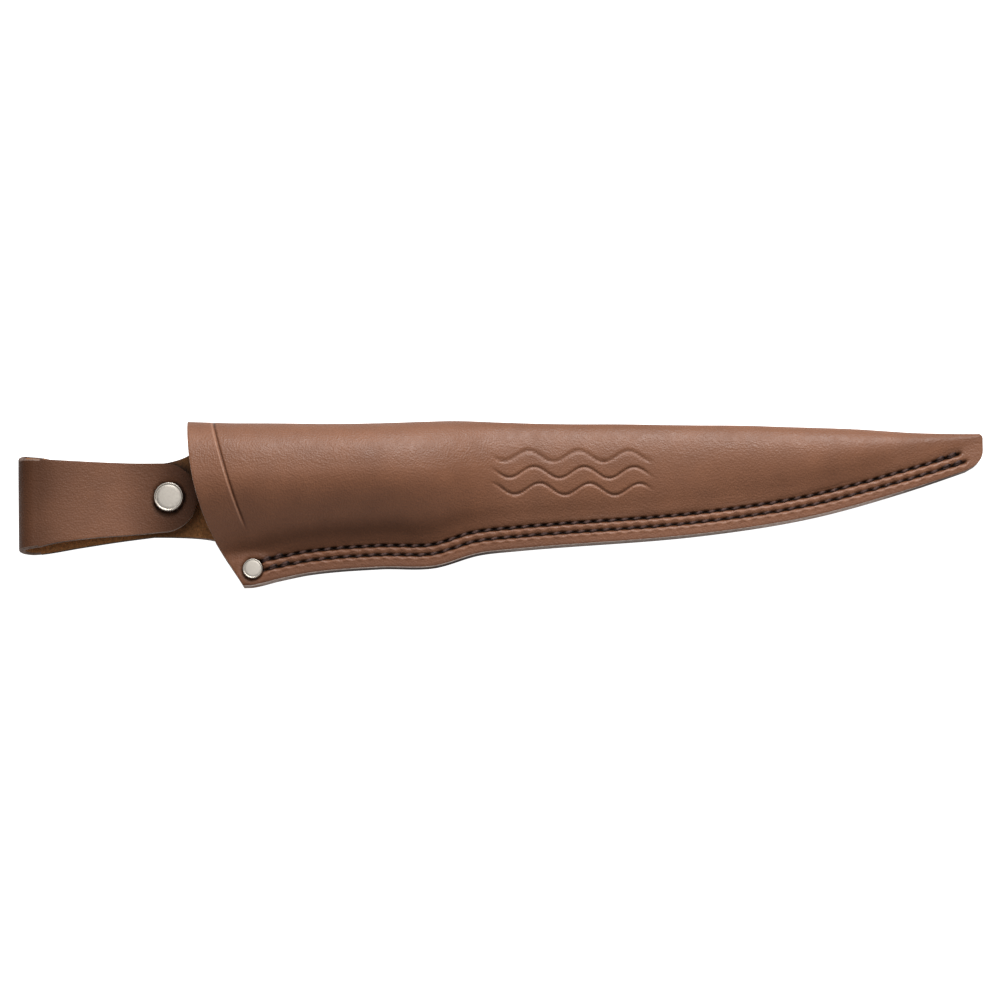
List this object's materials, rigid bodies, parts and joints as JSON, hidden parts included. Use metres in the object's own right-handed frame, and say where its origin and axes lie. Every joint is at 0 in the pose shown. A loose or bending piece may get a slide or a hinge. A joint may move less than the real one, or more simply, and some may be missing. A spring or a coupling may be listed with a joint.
{
  "type": "knife sheath",
  "caption": "Leather belt sheath for a long fishing knife: folded and sewn pocket with a riveted corner and a snap-closed belt loop.",
  "frame": {"origin": "middle of the underside of the whole sheath, on the plane that its back lies on", "axes": "+X from the belt loop to the tip, +Y from the sewn edge to the folded spine, +Z out of the front panel"},
  "size_m": [0.3286, 0.0568, 0.024],
  "materials": {
    "leather": "smooth oiled grain",
    "welt_leather": "raw cut edge",
    "thread": "waxed twisted thread",
    "nickel": "nickel plated"
  },
  "bodies": {
    "sheath": {"body_leather": "leather", "belt_fold": "leather", "welt": "welt_leather", "stitch_inner_front": "thread", "stitch_outer_front": "thread", "stitch_inner_back": "thread", "stitch_outer_back": "thread", "rivet_cap": "nickel", "rivet_post": "nickel", "snap_stud": "nickel", "snap_post": "nickel"},
    "flap": {"belt_flap": "leather", "snap_cap": "nickel", "snap_socket": "nickel", "snap_spring": "nickel"}
  },
  "joints": [
    {"name": "flap_open", "type": "hinge", "parent": "sheath", "child": "flap", "pos_m": [-0.15845, 0.0001, 0.0058], "axis": [0, -1, 0], "range_deg": [0, 170], "deforming": ["belt_fold", "snap_spring"]}
  ]
}
